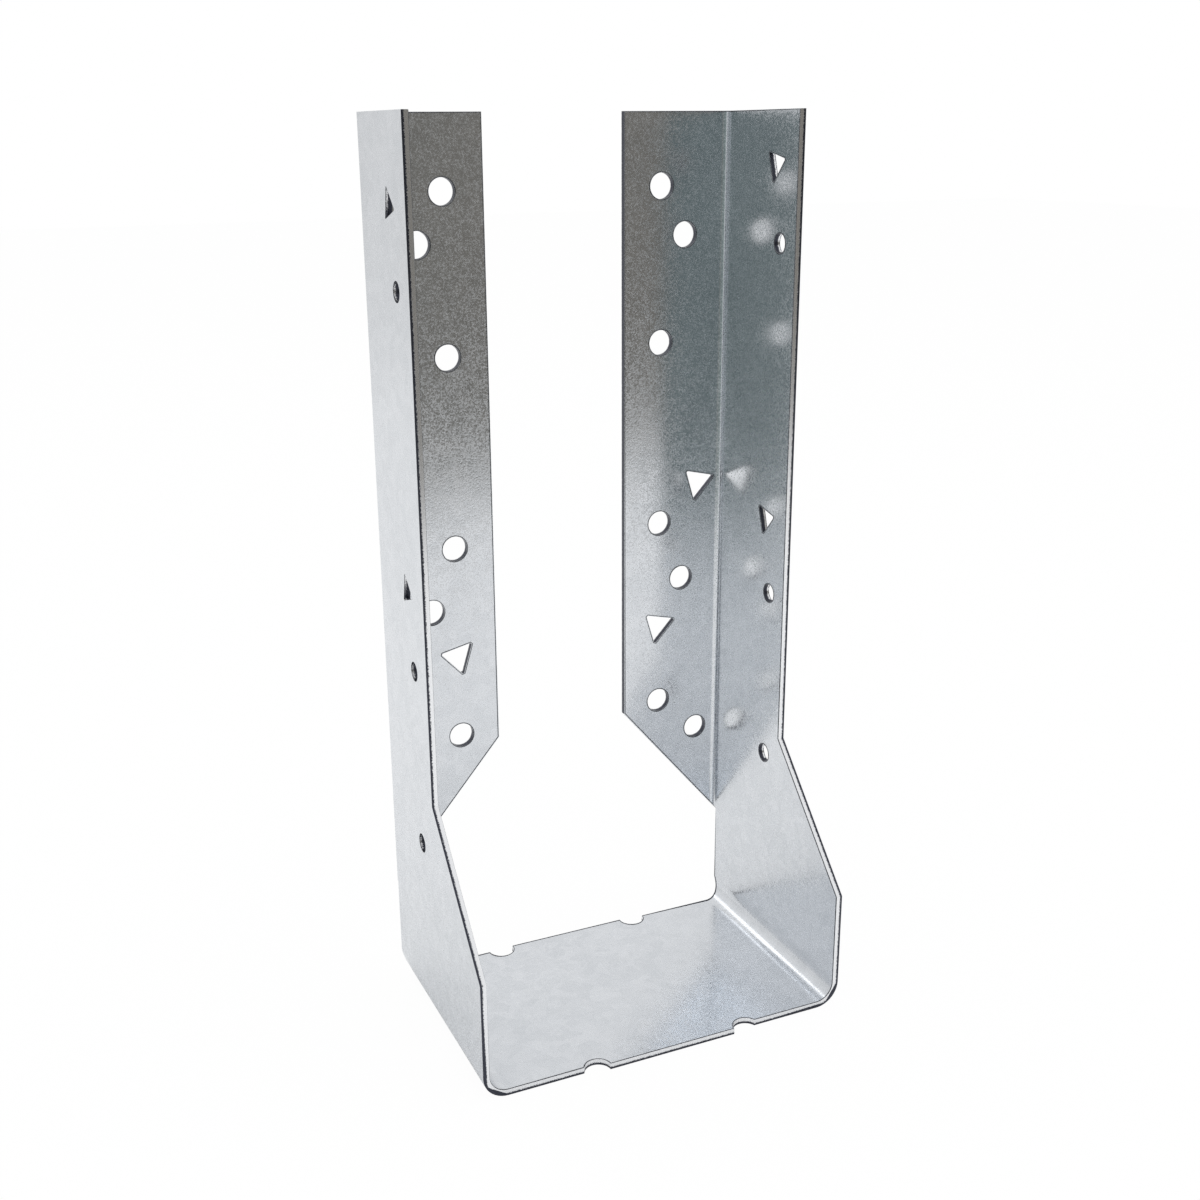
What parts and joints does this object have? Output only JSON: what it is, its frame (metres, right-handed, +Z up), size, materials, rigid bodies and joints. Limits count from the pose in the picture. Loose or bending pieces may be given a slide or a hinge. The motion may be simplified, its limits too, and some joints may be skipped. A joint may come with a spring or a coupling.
{
  "type": "joist hanger",
  "caption": "Face-mount joist hanger folded from galvanised sheet: open seat, side panels that flare forward, and inward-turned nailing flanges with round and triangular holes.",
  "frame": {"origin": "middle of the footprint, on the underside of the seat", "axes": "+Z up along the side panels; +Y towards the header that the flanges are nailed to; -Y towards the front, where the joist comes out; +X to the right, seen from the front"},
  "size_m": [0.0936, 0.064, 0.211],
  "materials": {
    "zinc_sheet": "galvanised"
  },
  "bodies": {
    "root": {"hanger": "zinc_sheet"}
  },
  "joints": []
}
